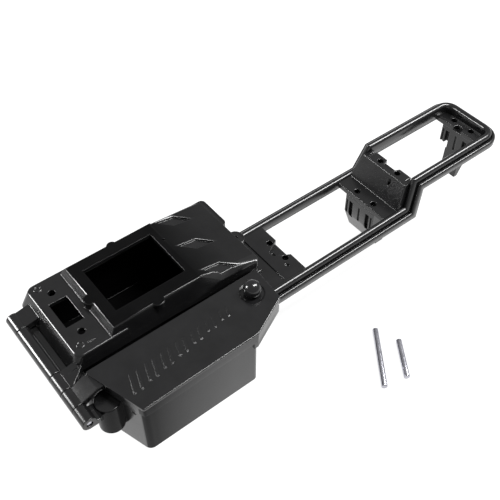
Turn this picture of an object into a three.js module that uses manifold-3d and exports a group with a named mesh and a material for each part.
// Radio tray of a radio-control vehicle: a two-bay box with two hinged lids and a stepped servo frame.
// Millimetres. +X runs from the hinge line to the tail, +Y away from the small lid, +Z up.
// The hinge axis is x = 0, the middle of the servo frame is y = 0 and the standing surface is z = 0.
import * as THREE from "three";
import { ConvexGeometry } from "three/addons/geometries/ConvexGeometry.js";
import { mergeVertices } from "three/addons/utils/BufferGeometryUtils.js";
import Module from "manifold-3d";

const wasm = await Module();
wasm.setup();

// ---- driving dimensions ----
const GAP = 0.3; // between regions that meet
const WALL = 2; // walls and floor of the two bays
const CLEAR = 1; // how far a cutting solid runs past the surface it opens
const HIGH = 50; // above everything

// Sides of the round forms
const ROUND_SIDES = 32;
const BORE_SIDES = 24;
const HOLE_SIDES = 20;
const BALL_STEPS = 9;

// Hinge line. The knuckle borders run from the far end to the near end: lid, tray, lid, small lid, tray.
const HINGE_Z = 24.6;
const KNUCKLE_R = 2.8;
const BORE_R = 1.3;
const HINGE_Y = [34.2, 26, 1, -7.2, -15.3, -22.3];
const KNUCKLE_ARM = { low: 2.6, back: 1.6, rise: 2.3 }; // where an arm leaves its knuckle
const PIN_R = 1.25;
const PIN_CHAMFER = 0.4;
const LONG_PIN = 27.4;
const SHORT_PIN = 17.7;
const PIN_SUNK = 0.4; // how far each pin lies inside the end of its bore
// The loose pair: length, middle of each pin and its turn from the Y axis towards +X.
const LOOSE_PINS = [
  { name: "loose_long_pin", length: LONG_PIN, x: 109.6, y: -54.2, turn: 36.6 },
  { name: "loose_short_pin", length: SHORT_PIN, x: 116.4, y: -60.3, turn: 34.6 },
];

// Main bay and its rim
const RIM_Z = 24.2;
const RIM_H = 2.4;
const MAIN_BAY = { x0: 7, x1: 86, y0: -4.8, y1: 39.2 };
const MAIN_RIM = { x0: 5.6, x1: 89.2, y0: -4.8, y1: 40 };
const DIVIDER_SET = 0.4; // the main bay's own share of the wall between the bays

// Main lid: low switch part, raised window part and a ramp down to the tail end
const LID_Z = RIM_Z + GAP;
const LID_WALL = 1.8;
const SWITCH_TOP = 30.7;
const WINDOW_TOP = 33.9;
const LID_END_Z = 28.8;
const SWITCH_PART = { x0: 5.4, top0: 8.9, x1: 30, y0: -0.7, y1: 39 };
const WINDOW_PART = { x0: 19, top0: 25.2, top1: 63.5, x1: 70, y0: 0.9, y1: 36.2 };
const END_PART = { low0: 50.4, x0: 69.5, x1: 89.4, y0: -3, y1: 38.4 };
const END_LIP = { x0: 79.4, x1: 91.2, y0: 21, top: 28.5 }; // the end's far half reaches a little further
const SKIRT = { y0: -2.2, y1: 39.6 };
const LID_CORNER = { hinge: 3, tail: 2 };
const WINDOW = { x0: 29.7, x1: 60.4, y0: 6.7, y1: 30.7 };
const SWITCH_HOLE = { x0: 12.2, x1: 19.6, y0: 13.4, y1: 26.6 };
const SWITCH_SCREW = { x: 15.9, y: 20, spacing: 22.3, r: 1.5 };
const SCREW_BUMPS = [
  { x: 24.9, y: 17.4, r: 2.6 },
  { x: 44.5, y: 1.7, r: 2.8 },
  { x: 45.3, y: 35.2, r: 2.3 },
];
const VENT = { x0: 66.1, x1: 80, lean: 5.6, y: 17.4, pitch: 15.8, width: 4.6, depth: 1.2 };
const TAB = { x: 88.8, y: 12.5, r: 3.9, dimple: 1.1 };
const LID_ARM = { rise: 3.4, cornerX: 3.2, cornerRise: 2.6 }; // of the lid's knuckles, over the hinge axis

// Side lid: a flat plate over the receiver bay, held by a ball-headed stud
const SIDE_TOP = 31;
const SIDE_THICK = 1.4;
const SIDE_LID = [[7.8, -7.3], [15.7, -32.5], [65.9, -31.8], [82.5, -23.8], [83.7, -7.3]];
const ARM = { x0: 8, x1: 12, deep: 2.2 }; // of the side lid's knuckle, under the plate
const STUD = { x: 75.3, y: -15.7, ball: 3.4, shank: 1.6, neck: 2.4, foot: 22.4, hole: 2.2, point: 1.2 };

// Receiver bay: its outline, the band under the side lid and the shelf that carries the stud
const RECEIVER = [[9.2, -4.9], [8.9, -8], [16.2, -31.1], [66.4, -30.9], [66.4, -4.9]];
const RECEIVER_CORNER = 3;
const BAND_Z = 25;
const BAND_INSET = 0.35;
const SHELF_Z = 22;
const SHELF_X = 64;
const SHELF_T = 1.8;
const POST_BOSS = { x: 9.5, y: -17.8, r: 4.9, z0: 9.5, z1: 24.7, bore: 1.5, cap: 3 };

// Servo frame: half width to the outer face and top of the inner bead, low and raised part
// deep and under: height of a rail's outer face and of its inner one.
const FRAME = { half: 19, top: 24.2, deep: 5.8, under: 4.9, left0: 89.5, right0: 84, x1: 158.6 };
const TAIL = { half: 17.1, top: 37.1, deep: 5.6, under: 6.7, x0: 162.8, x1: 217.1, corner: 8.5 };
const RAIL = { width: 5.1, ledge: 1.9, drop: 2.2, web: 2.4 };
const BEAD = { outerRise: 0.9, innerRise: 1.3, crease: 0.2 };
const BEAD_STEPS = 6;
const CORNER_STEPS = 8;

// Screw decks and posts. The screw rows of a standard servo lie 49.4 mm apart, its holes 10 mm.
const SERVO_PITCH = 49.4;
const HOLE_Y = 5;
const HOLE_R = 1.35;
const SERVO_1 = 100.9; // first screw row of the front servo
const SERVO_2 = 162.6; // first screw row of the rear servo
const TAIL_ROW = 209.9;
const DECK_T = 2.4;
const DECK_TOP = 23.3;
const UPPER_TOP = 34.1;
const TAIL_DECK_TOP = 32.7;
const FRONT_DECK = { x0: 89.5, seat: 93.4, x1: 104, notch: 98.9, notchHalf: 1.2, slant: 3.2, step: 0.5 };
const STRIP = { x0: 147.4, x1: 154.8 };
const WEB = { top0: 159.8, top1: 162, low1: 157.2 };
const UPPER_TABS = { x1: 165.4, notch: 160.2, half: 10.4, notchHalf: 1.8, slant: 2 };
const TAIL_DECK = { x0: 206.4, half: 9, notch: 209, notchHalf: 1.6, slant: 1 };
const POST = { near: 2.9, far: 3.8, half: 8.5 };
// Stems below the posts: the foot's corners as [from the screw row, height] points.
const MID_STEM = { foot: 11, half: 8.5, toe: [[1.3, 0], [5.8, 0], [5.8, 4], [3.8, 8]] };
const TAIL_STEM = { foot: 19.5, half: 4.4, toe: [[-3.3, 6], [-1.3, 6], [3.8, 17]] };
const SLOT = { half: 1.1, deep: 2.2, top: 2.6, low: 12 };
const FRONT_POST = { x0: 97.4, x1: 103.6, half: 8.5, low: 8 };
const RISER_POST = { x0: 162.3, x1: 165.2, half: 8.5, low: 16, shift: 0.9 };

// ---- solids ----
function solid(geometry) {
  geometry.deleteAttribute("normal");
  geometry.deleteAttribute("uv");
  const merged = mergeVertices(geometry, 1e-4);
  const mesh = new wasm.Mesh({
    numProp: 3,
    vertProperties: merged.attributes.position.array,
    triVerts: new Uint32Array(merged.index.array),
  });
  return new wasm.Manifold(mesh);
}
function extruded(points, depth) {
  const shape = new THREE.Shape(points.map(([a, b]) => new THREE.Vector2(a, b)));
  return new THREE.ExtrudeGeometry(shape, { depth, bevelEnabled: false });
}
// A plan outline between two heights.
function plan(points, z0, z1) {
  return solid(extruded(points, z1 - z0).translate(0, 0, z0));
}
// A side-view outline of [x, z] points between two y values.
function side(points, y0, y1) {
  const geometry = extruded(points, y1 - y0).rotateX(Math.PI / 2);
  return solid(geometry.translate(0, y1, 0));
}
// A solid through a row of rings, each one the section's points put in place.
function loft(flatSection, rings) {
  const n = flatSection.length;
  const index = [];
  for (let i = 0; i + 1 < rings.length; i++) {
    for (let k = 0; k < n; k++) {
      const a = i * n + k;
      const b = i * n + ((k + 1) % n);
      index.push(a, b, b + n, a, b + n, a + n);
    }
  }
  const last = (rings.length - 1) * n;
  const turned = [...flatSection].map(([u, h]) => new THREE.Vector2(u, h));
  for (const [a, b, c] of THREE.ShapeUtils.triangulateShape(turned, [])) {
    index.push(a, b, c, last + a, last + c, last + b);
  }
  const vertProperties = new Float32Array(rings.flat(2));
  const made = (order) => new wasm.Manifold(new wasm.Mesh({ numProp: 3, vertProperties, triVerts: order }));
  const first = made(new Uint32Array(index));
  return first.volume() > 0 ? first : made(new Uint32Array(index.reverse()));
}
function block(x0, x1, y0, y1, z0, z1) {
  const geometry = new THREE.BoxGeometry(x1 - x0, y1 - y0, z1 - z0);
  return solid(geometry.translate((x0 + x1) / 2, (y0 + y1) / 2, (z0 + z1) / 2));
}
function hull(points) {
  return solid(new ConvexGeometry(points.map((p) => new THREE.Vector3(...p))));
}
function cylinderZ(x, y, r, z0, z1, sides = ROUND_SIDES) {
  const geometry = new THREE.CylinderGeometry(r, r, z1 - z0, sides).rotateX(Math.PI / 2);
  return solid(geometry.translate(x, y, (z0 + z1) / 2));
}
function cylinderY(x, z, r, y0, y1, sides = ROUND_SIDES) {
  const geometry = new THREE.CylinderGeometry(r, r, y1 - y0, sides);
  return solid(geometry.translate(x, (y0 + y1) / 2, z));
}
function lathe(points, x, y) {
  const profile = points.map(([r, h]) => new THREE.Vector2(r, h));
  const geometry = new THREE.LatheGeometry(profile, ROUND_SIDES).rotateX(Math.PI / 2);
  return solid(geometry.translate(x, y, 0));
}
const joined = (list) => list.reduce((a, b) => a.add(b));
const cut = (a, ...tools) => tools.reduce((left, tool) => left.subtract(tool), a);

// Rounds one corner of an outline with an arc of radius r.
function roundCorner(points, index, r, steps = 6) {
  const [p, c, n] = [-1, 0, 1].map((k) => points[(index + k + points.length) % points.length]);
  const unit = (a, b) => {
    const d = Math.hypot(b[0] - a[0], b[1] - a[1]);
    return [(b[0] - a[0]) / d, (b[1] - a[1]) / d];
  };
  const u = unit(c, p);
  const v = unit(c, n);
  const half = Math.acos(u[0] * v[0] + u[1] * v[1]) / 2;
  const back = r / Math.tan(half);
  const from = [c[0] + u[0] * back, c[1] + u[1] * back];
  const to = [c[0] + v[0] * back, c[1] + v[1] * back];
  const bis = [u[0] + v[0], u[1] + v[1]];
  const len = Math.hypot(...bis);
  const reach = r / Math.sin(half);
  const centre = [c[0] + (bis[0] / len) * reach, c[1] + (bis[1] / len) * reach];
  const a0 = Math.atan2(from[1] - centre[1], from[0] - centre[0]);
  let turn = Math.atan2(to[1] - centre[1], to[0] - centre[0]) - a0;
  if (turn > Math.PI) turn -= 2 * Math.PI;
  if (turn < -Math.PI) turn += 2 * Math.PI;
  const arc = [];
  for (let i = 0; i <= steps; i++) {
    const a = a0 + (turn * i) / steps;
    arc.push([centre[0] + r * Math.cos(a), centre[1] + r * Math.sin(a)]);
  }
  return [...points.slice(0, index), ...arc, ...points.slice(index + 1)];
}
// Moves each edge of a convex outline inwards by d.
function inset(points, d) {
  const area = points.reduce((sum, [x, y], i) => {
    const [nx, ny] = points[(i + 1) % points.length];
    return sum + x * ny - nx * y;
  }, 0);
  const side = Math.sign(area);
  const edges = points.map(([x, y], i) => {
    const [nx, ny] = points[(i + 1) % points.length];
    const len = Math.hypot(nx - x, ny - y);
    const normal = [(-(ny - y) / len) * side, ((nx - x) / len) * side];
    return { x: x + normal[0] * d, y: y + normal[1] * d, dx: nx - x, dy: ny - y };
  });
  return edges.map((e, i) => {
    const b = edges[(i - 1 + edges.length) % edges.length];
    const t = ((e.x - b.x) * e.dy - (e.y - b.y) * e.dx) / (b.dx * e.dy - b.dy * e.dx);
    return [b.x + b.dx * t, b.y + b.dy * t];
  });
}

// ---- the group ----
const group = new THREE.Group();
group.name = "radio_tray";
const COLOURS = { plastic: 0x1a1a1c, gloss: 0x0c0c0e, steel: 0xb9bcc0 };
const ROUGHNESS = { plastic: 0.45, gloss: 0.1, steel: 0.3 };
function piece(name, body, look = "plastic") {
  const mesh = body.getMesh();
  const geometry = new THREE.BufferGeometry();
  geometry.setAttribute("position", new THREE.BufferAttribute(mesh.vertProperties, 3));
  geometry.setIndex(new THREE.BufferAttribute(mesh.triVerts, 1));
  const material = new THREE.MeshStandardMaterial({ color: COLOURS[look] });
  material.metalness = look === "steel" ? 1 : 0;
  material.roughness = ROUGHNESS[look];
  const made = new THREE.Mesh(geometry, material);
  made.name = name;
  group.add(made);
}

// ---- tub: main bay and receiver bay in one moulding ----
function tub() {
  const m = MAIN_BAY;
  const rim = MAIN_RIM;
  const bandTop = SIDE_TOP - SIDE_THICK - GAP;
  const beyondShelf = (y1, z0) => block(SHELF_X, HIGH * 2, -HIGH, y1, z0, HIGH);
  const shelf = plan(inset(SIDE_LID, BAND_INSET), SHELF_Z, BAND_Z + CLEAR);
  const pocket = plan(inset(SIDE_LID, BAND_INSET + WALL), SHELF_Z + SHELF_T, HIGH);
  const outer = joined([
    block(m.x0, m.x1, m.y0, m.y1, 0, RIM_Z - CLEAR),
    block(rim.x0, rim.x1, rim.y0, rim.y1, RIM_Z - RIM_H, RIM_Z),
    plan(roundCorner(RECEIVER, 2, RECEIVER_CORNER), 0, BAND_Z + CLEAR),
    plan(inset(SIDE_LID, BAND_INSET), BAND_Z, bandTop),
    shelf.intersect(beyondShelf(0, 0)),
    block(SHELF_X, MAIN_BAY.x1 - WALL, SIDE_LID[0][1] - CLEAR, m.y0 + GAP, SHELF_Z, RIM_Z - CLEAR),
  ]);
  return cut(
    outer,
    block(m.x0 + WALL, m.x1 - WALL, m.y0 + DIVIDER_SET, m.y1 - WALL, WALL, HIGH),
    plan(inset(RECEIVER, WALL), WALL, HIGH),
    pocket.intersect(beyondShelf(SIDE_LID[0][1] - WALL, 0)),
    cylinderZ(STUD.x, STUD.y, STUD.hole, 0, HIGH, HOLE_SIDES),
    block(0, ARM.x1 + WALL, HINGE_Y[4] - GAP, HINGE_Y[3] + GAP, SIDE_TOP - SIDE_THICK - ARM.deep, HIGH),
  );
}
piece("tub", tub());

// ---- hinge barrels of the tub ----
function barrel(y0, y1, reach) {
  const low = RIM_Z - RIM_H;
  const web = [[0, HINGE_Z - KNUCKLE_R], [reach, low], [reach, RIM_Z - GAP], [0, HINGE_Z]];
  const turned = cylinderY(0, HINGE_Z, KNUCKLE_R, y0, y1);
  return cut(turned.add(side(web, y0, y1)), bore(y0, y1));
}
function bore(y0, y1) {
  return cylinderY(0, HINGE_Z, BORE_R, y0 - CLEAR, y1 + CLEAR, BORE_SIDES);
}
piece("long_hinge_barrel", barrel(HINGE_Y[2] + GAP / 2, HINGE_Y[1] - GAP / 2, MAIN_RIM.x0 - GAP));
piece("short_hinge_barrel", barrel(HINGE_Y[5], HINGE_Y[4] - GAP / 2, POST_BOSS.x - POST_BOSS.r - GAP));

// ---- round boss on the slanted wall, with a screw bore from below ----
function postBoss() {
  const { x, y, r, z0, z1 } = POST_BOSS;
  const wall = plan(inset(RECEIVER, -GAP), 0, HIGH);
  const screwBore = cylinderZ(x, y, POST_BOSS.bore, z0 - CLEAR, z1 - POST_BOSS.cap, HOLE_SIDES);
  return cut(cylinderZ(x, y, r, z0, z1), screwBore, wall);
}
piece("post_boss", postBoss());

// ---- servo frame ----
// Section of a rail as [inwards from the outer face, height from the top] points:
// a high round bead inside, a lower one outside and a web under them.
function railSection({ deep, under }) {
  const { width, ledge, drop, web } = RAIL;
  const bead = (from, to, low, high) => {
    const arc = [];
    for (let i = 0; i <= BEAD_STEPS; i++) {
      const a = Math.PI - (Math.PI * i) / BEAD_STEPS;
      arc.push([(from + to + (to - from) * Math.cos(a)) / 2, low + (high - low) * Math.sin(a)]);
    }
    return arc;
  };
  const outerLow = -drop - BEAD.outerRise;
  const outerBead = bead(0, ledge - BEAD.crease, outerLow, -drop);
  const innerBead = bead(ledge, width, -BEAD.innerRise, 0);
  return [
    [0, -deep], ...outerBead, [ledge, outerLow], ...innerBead,
    [width, -under], [web, -under], [web - CLEAR, -deep],
  ];
}
const SECTION = railSection(FRAME);
// The section at one place of a rail. lean tilts it, so that it can end on the plane between two runs.
function station(run, x, flip, lean = 0) {
  return railSection(run).map(([u, h]) => [x - lean * h, flip * (run.half - u), run.top + h]);
}
const RISE = Math.atan2(TAIL.top - FRAME.top, TAIL.x0 - FRAME.x1);
const LEAN = Math.tan(RISE / 2);
const LEAN_GAP = (GAP / 2) * Math.hypot(1, LEAN);
for (const [name, flip, start] of [["left", 1, FRAME.left0], ["right", -1, FRAME.right0]]) {
  const lower = [station(FRAME, start, flip), station(FRAME, FRAME.x1 - LEAN_GAP, flip, LEAN)];
  const riser = [
    station(FRAME, FRAME.x1 + LEAN_GAP, flip, LEAN),
    station(TAIL, TAIL.x0 - LEAN_GAP, flip, LEAN),
  ];
  const upper = [
    station(TAIL, TAIL.x0 + LEAN_GAP, flip, LEAN),
    station(TAIL, TAIL.x1 - TAIL.corner - GAP, flip),
  ];
  piece(name + "_rail", loft(SECTION, lower));
  piece(name + "_riser", loft(SECTION, riser));
  piece("tail_" + name + "_rail", loft(SECTION, upper));
}

// Tail bar: the same section swept round both corners.
function tailBar() {
  const { half, top, x1, corner } = TAIL;
  const rings = [];
  for (const flip of [1, -1]) {
    for (let i = 0; i <= CORNER_STEPS; i++) {
      const share = i / CORNER_STEPS;
      const a = (Math.PI / 2) * (flip > 0 ? 1 - share : -share);
      const out = ([u, h]) => [
        x1 - corner + (corner - u) * Math.cos(a),
        flip * (half - corner) + (corner - u) * Math.sin(a),
        top + h,
      ];
      rings.push(railSection(TAIL).map(out));
    }
  }
  return loft(SECTION, rings);
}
piece("tail_bar", tailBar());

// Screw deck with two tabs and a notch between them.
function tabbedDeck(x0, half, { x1, notch, notchHalf, slant }, z0, z1) {
  const outline = [
    [x0, -half], [x1, -half], [x1, -notchHalf - slant],
    [notch, -notchHalf], [notch, notchHalf],
    [x1, notchHalf + slant], [x1, half], [x0, half],
  ];
  return plan(outline, z0, z1);
}
function screwHoles(x, z0, z1) {
  return [-HOLE_Y, HOLE_Y].map((y) => cylinderZ(x, y, HOLE_R, z0, z1, HOLE_SIDES));
}
const LOW_HALF = FRAME.half - RAIL.width - GAP;
const HIGH_HALF = TAIL.half - RAIL.width - GAP;
const DECK_UNDER = DECK_TOP - DECK_T;

// The front deck steps down under the lid's tab, so the servo's ears rest clear of it.
function frontDeck() {
  const d = FRONT_DECK;
  const deck = tabbedDeck(d.x0, LOW_HALF, d, DECK_UNDER, DECK_TOP);
  const step = block(d.x0 - CLEAR, d.seat, -HIGH, HIGH, DECK_TOP - d.step, HIGH);
  return cut(deck, step, ...screwHoles(SERVO_1, 0, HIGH));
}
piece("front_deck", frontDeck());
function frontPost() {
  const { x0, x1, half, low } = FRONT_POST;
  return cut(block(x0, x1, -half, half, low, DECK_UNDER - GAP), ...screwHoles(SERVO_1, 0, HIGH));
}
piece("front_post", frontPost());

// Step between the two servo levels: a low screw strip, a steep web and two high screw tabs.
function stepDeck() {
  const upperUnder = UPPER_TOP - DECK_T;
  const across = (half, x, z) => [[x, -half, z], [x, half, z]];
  const web = hull([
    ...across(LOW_HALF, STRIP.x1, DECK_UNDER),
    ...across(LOW_HALF, WEB.low1, DECK_UNDER),
    ...across(LOW_HALF, STRIP.x1, DECK_TOP - GAP),
    ...across(HIGH_HALF, WEB.top0, UPPER_TOP),
    ...across(HIGH_HALF, WEB.top1, UPPER_TOP),
    ...across(HIGH_HALF, WEB.top1, upperUnder),
  ]);
  return cut(
    joined([
      block(STRIP.x0, STRIP.x1 + CLEAR / 2, -LOW_HALF, LOW_HALF, DECK_UNDER, DECK_TOP),
      web,
      tabbedDeck(WEB.top0, UPPER_TABS.half, UPPER_TABS, upperUnder, UPPER_TOP),
    ]),
    ...screwHoles(SERVO_1 + SERVO_PITCH, 0, DECK_TOP + CLEAR),
    ...screwHoles(SERVO_2, DECK_TOP + CLEAR, HIGH),
  );
}
piece("step_deck", stepDeck());

// Screw post: a slotted block that the servo's screws bite into, on a narrower stem.
function screwPost(x, top, { foot, half, toe }) {
  const near = x - POST.near;
  const far = x + POST.far;
  const outline = [[near, top], [near, foot], ...toe.map(([dx, z]) => [x + dx, z]), [far, top]];
  const slots = [-HOLE_Y, HOLE_Y].map((y) =>
    block(near - CLEAR, near + SLOT.deep, y - SLOT.half, y + SLOT.half, top - SLOT.low, top - SLOT.top),
  );
  const stem = side(outline, -half, half);
  const body = stem.add(block(near, far, -POST.half, POST.half, foot + CLEAR, top));
  return cut(body, ...slots, ...screwHoles(x, top - SLOT.top, HIGH));
}
piece("mid_post", screwPost(SERVO_1 + SERVO_PITCH, DECK_UNDER - GAP, MID_STEM));
function riserPost() {
  const { x0, x1, half, low, shift } = RISER_POST;
  const body = block(x0, x1, -half, half, low, UPPER_TOP - DECK_T - GAP);
  return cut(body, ...screwHoles(SERVO_2 + shift, low + WALL, HIGH));
}
piece("riser_post", riserPost());

// Deck and post at the tail bar
function tailDeck() {
  const { x0, half, notch, notchHalf, slant } = TAIL_DECK;
  const x1 = TAIL.x1 - RAIL.width - GAP;
  const wide = notchHalf + slant;
  const opening = [[x0 - CLEAR, -wide], [notch, -notchHalf], [notch, notchHalf], [x0 - CLEAR, wide]];
  const deck = block(x0, x1, -half, half, TAIL_DECK_TOP - DECK_T, TAIL_DECK_TOP);
  return cut(deck, plan(opening, 0, HIGH), ...screwHoles(TAIL_ROW, 0, HIGH));
}
piece("tail_deck", tailDeck());
piece("tail_post", screwPost(TAIL_ROW, TAIL_DECK_TOP - DECK_T - GAP, TAIL_STEM));

// ---- main lid ----
// Corners of a rectangle at height z, rounded by r0 at x0 and by r1 at x1.
function level(x0, x1, y0, y1, z, r0 = 0, r1 = 0) {
  let outline = [[x0, y0], [x1, y0], [x1, y1], [x0, y1]];
  for (const [corner, r] of [[3, r0], [2, r1], [1, r1], [0, r0]]) {
    if (r > 0) outline = roundCorner(outline, corner, r);
  }
  return outline.map(([x, y]) => [x, y, z]);
}
// Outer form of the lid or, with d > 0, the same form moved inwards by d and open below.
function lidForm(d) {
  const z0 = LID_Z - (d ? CLEAR : 0);
  const y0 = SKIRT.y0 + d;
  const y1 = SKIRT.y1 - d;
  const s = SWITCH_PART;
  const w = WINDOW_PART;
  const e = END_PART;
  const hingeR = LID_CORNER.hinge - d;
  const tailR = LID_CORNER.tail - Math.min(d, CLEAR);
  const switchForm = hull([
    ...level(s.x0 + d, s.x1, y0, y1, z0, hingeR),
    ...level(s.top0 + d, s.x1, s.y0 + d, s.y1 - d, SWITCH_TOP - d, hingeR),
  ]);
  const windowForm = hull([
    ...level(w.x0 + d, w.x1, y0, y1, z0),
    ...level(w.top0 + d, w.top1, w.y0 + d, w.y1 - d, WINDOW_TOP - d),
  ]);
  const endForm = hull([
    ...level(e.low0, e.x1 - d, y0, e.y1 - d, z0, 0, tailR),
    ...level(e.x0, e.x1 - d, e.y0 + d, e.y1 - d, z0, 0, tailR),
    [w.top1, w.y0 + d, WINDOW_TOP - d],
    [w.top1, w.y1 - d, WINDOW_TOP - d],
    ...level(e.x0, e.x0 + CLEAR, e.y0 + d, e.y1 - d, LID_END_Z + CLEAR - d),
    ...level(e.x0, e.x1 - d, e.y0 + d, e.y1 - d, LID_END_Z - d, 0, tailR),
  ]);
  const lip = END_LIP;
  const lipForm = hull([
    ...level(lip.x0, lip.x1 - d, lip.y0 + d, e.y1 - d, z0, 0, tailR),
    ...level(lip.x0, lip.x1 - d, lip.y0 + d, e.y1 - d, lip.top - d, 0, tailR),
  ]);
  return joined([switchForm, windowForm, endForm, lipForm]);
}
// Knuckle with an arm that reaches to armX between armZ0 and armZ1.
function knuckle(y0, y1, armX, armZ0, armZ1) {
  const { low, back, rise } = KNUCKLE_ARM;
  const arm = [[0, HINGE_Z], [low, HINGE_Z], [armX, armZ0], [armX, armZ1], [back, HINGE_Z + rise]];
  return cylinderY(0, HINGE_Z, KNUCKLE_R, y0, y1).add(side(arm, y0, y1));
}
// Vents: slanted shallow pockets in the ramp.
function vents() {
  const slope = (LID_END_Z - WINDOW_TOP) / (END_PART.x1 - WINDOW_PART.top1);
  const floorZ = (x) => WINDOW_TOP + slope * (x - WINDOW_PART.top1) - VENT.depth;
  const { x0, x1, lean, width } = VENT;
  return [-1, 0, 1].map((k) => {
    const y = VENT.y + k * VENT.pitch;
    const [y0, y1] = [y - width / 2, y + width / 2];
    const outline = [[x0, y1], [x0 + lean, y0], [x1, y0], [x1 - lean, y1]];
    const above = side([[x0, floorZ(x0)], [x1, floorZ(x1)], [x1, HIGH], [x0, HIGH]], y0, y1);
    return plan(outline, 0, HIGH).intersect(above);
  });
}
function mainLid() {
  const over = (box) => block(box.x0, box.x1, box.y0, box.y1, LID_Z + LID_WALL, HIGH);
  const { x, y, spacing, r } = SWITCH_SCREW;
  const screws = [y - spacing / 2, y + spacing / 2].map((row) =>
    cylinderZ(x, row, r, LID_Z + LID_WALL, HIGH, HOLE_SIDES),
  );
  const bumps = SCREW_BUMPS.map((b) => cylinderZ(b.x, b.y, b.r, LID_Z + WALL, WINDOW_TOP));
  const far = [HINGE_Y[1] + GAP / 2, HINGE_Y[0]];
  const near = [HINGE_Y[3] + GAP / 2, HINGE_Y[2] - GAP / 2];
  const onWall = SKIRT.y0 + GAP; // the part of the near knuckle that meets the lid's wall
  const armX = SWITCH_PART.top0 - CLEAR;
  return cut(
    joined([
      lidForm(0),
      ...bumps,
      knuckle(far[0], far[1], armX, LID_Z, HINGE_Z + LID_ARM.rise),
      knuckle(onWall, near[1], armX, LID_Z, HINGE_Z + LID_ARM.rise),
      knuckle(near[0], near[1], LID_ARM.cornerX, HINGE_Z, HINGE_Z + LID_ARM.cornerRise),
    ]),
    bore(...far),
    bore(...near),
    lidForm(LID_WALL),
    over(WINDOW),
    over(SWITCH_HOLE),
    ...vents(),
    ...screws,
    cylinderZ(TAB.x, TAB.y, TAB.r + GAP, 0, HIGH),
  );
}
piece("main_lid", mainLid());
function lidTab() {
  const top = LID_END_Z - 2 * GAP;
  const dimple = cylinderZ(TAB.x, TAB.y, TAB.dimple, top - CLEAR, HIGH, HOLE_SIDES);
  return cut(cylinderZ(TAB.x, TAB.y, TAB.r, LID_Z, top), dimple);
}
piece("lid_tab", lidTab());

// ---- side lid, its knuckle and its ball-headed snap stud ----
function sideLid() {
  const low = SIDE_TOP - SIDE_THICK;
  const { x0, x1, deep } = ARM;
  const arm = [
    [0, HINGE_Z], [KNUCKLE_ARM.low, HINGE_Z], [x0, low - deep + GAP * 2], [x1, low - deep + CLEAR],
    [x1, low + GAP], [x0, low + GAP], [KNUCKLE_ARM.back, HINGE_Z + KNUCKLE_ARM.rise],
  ];
  const y0 = HINGE_Y[4] + GAP / 2;
  const y1 = HINGE_Y[3] - GAP / 2;
  return cut(
    joined([
      plan(SIDE_LID, low, SIDE_TOP),
      cylinderY(0, HINGE_Z, KNUCKLE_R, y0, y1),
      side(arm, y0, y1),
    ]),
    bore(y0, y1),
    cylinderZ(STUD.x, STUD.y, STUD.shank + GAP, 0, HIGH, HOLE_SIDES),
  );
}
piece("side_lid", sideLid());
function snapStud() {
  const { ball, shank, neck, foot, point } = STUD;
  const low = SIDE_TOP + GAP;
  const points = [[0, foot], [point, foot], [shank, foot + shank], [shank, low], [neck, low]];
  const start = -Math.acos(neck / ball);
  const centre = low - ball * Math.sin(start);
  for (let i = 1; i < BALL_STEPS; i++) {
    const a = start + ((Math.PI / 2 - start) * i) / BALL_STEPS;
    points.push([ball * Math.cos(a), centre + ball * Math.sin(a)]);
  }
  points.push([0, centre + ball]);
  return lathe(points, STUD.x, STUD.y);
}
piece("snap_stud", snapStud(), "gloss");

// ---- hinge pins, and the loose pair lying beside the tray ----
function pin(length) {
  const h = length / 2;
  const tip = PIN_R - PIN_CHAMFER;
  const profile = [
    [0, -h], [tip, -h], [PIN_R, PIN_CHAMFER - h], [PIN_R, h - PIN_CHAMFER], [tip, h], [0, h],
  ];
  return new THREE.LatheGeometry(profile.map((p) => new THREE.Vector2(...p)), HOLE_SIDES);
}
function hingePin(length, middle) {
  return solid(pin(length).translate(0, middle, HINGE_Z));
}
piece("long_hinge_pin", hingePin(LONG_PIN, HINGE_Y[5] + PIN_SUNK + LONG_PIN / 2), "steel");
piece("short_hinge_pin", hingePin(SHORT_PIN, HINGE_Y[0] - PIN_SUNK - SHORT_PIN / 2), "steel");
for (const { name, length, x, y, turn } of LOOSE_PINS) {
  const laid = pin(length).rotateZ(THREE.MathUtils.degToRad(-turn));
  piece(name, solid(laid.translate(x, y, PIN_R)), "steel");
}

// The object's frame: middle of its outline, on the standing surface.
const extent = new THREE.Box3().setFromObject(group);
const middle = extent.getCenter(new THREE.Vector3());
group.position.set(-middle.x, -middle.y, -extent.min.z);

export default group;
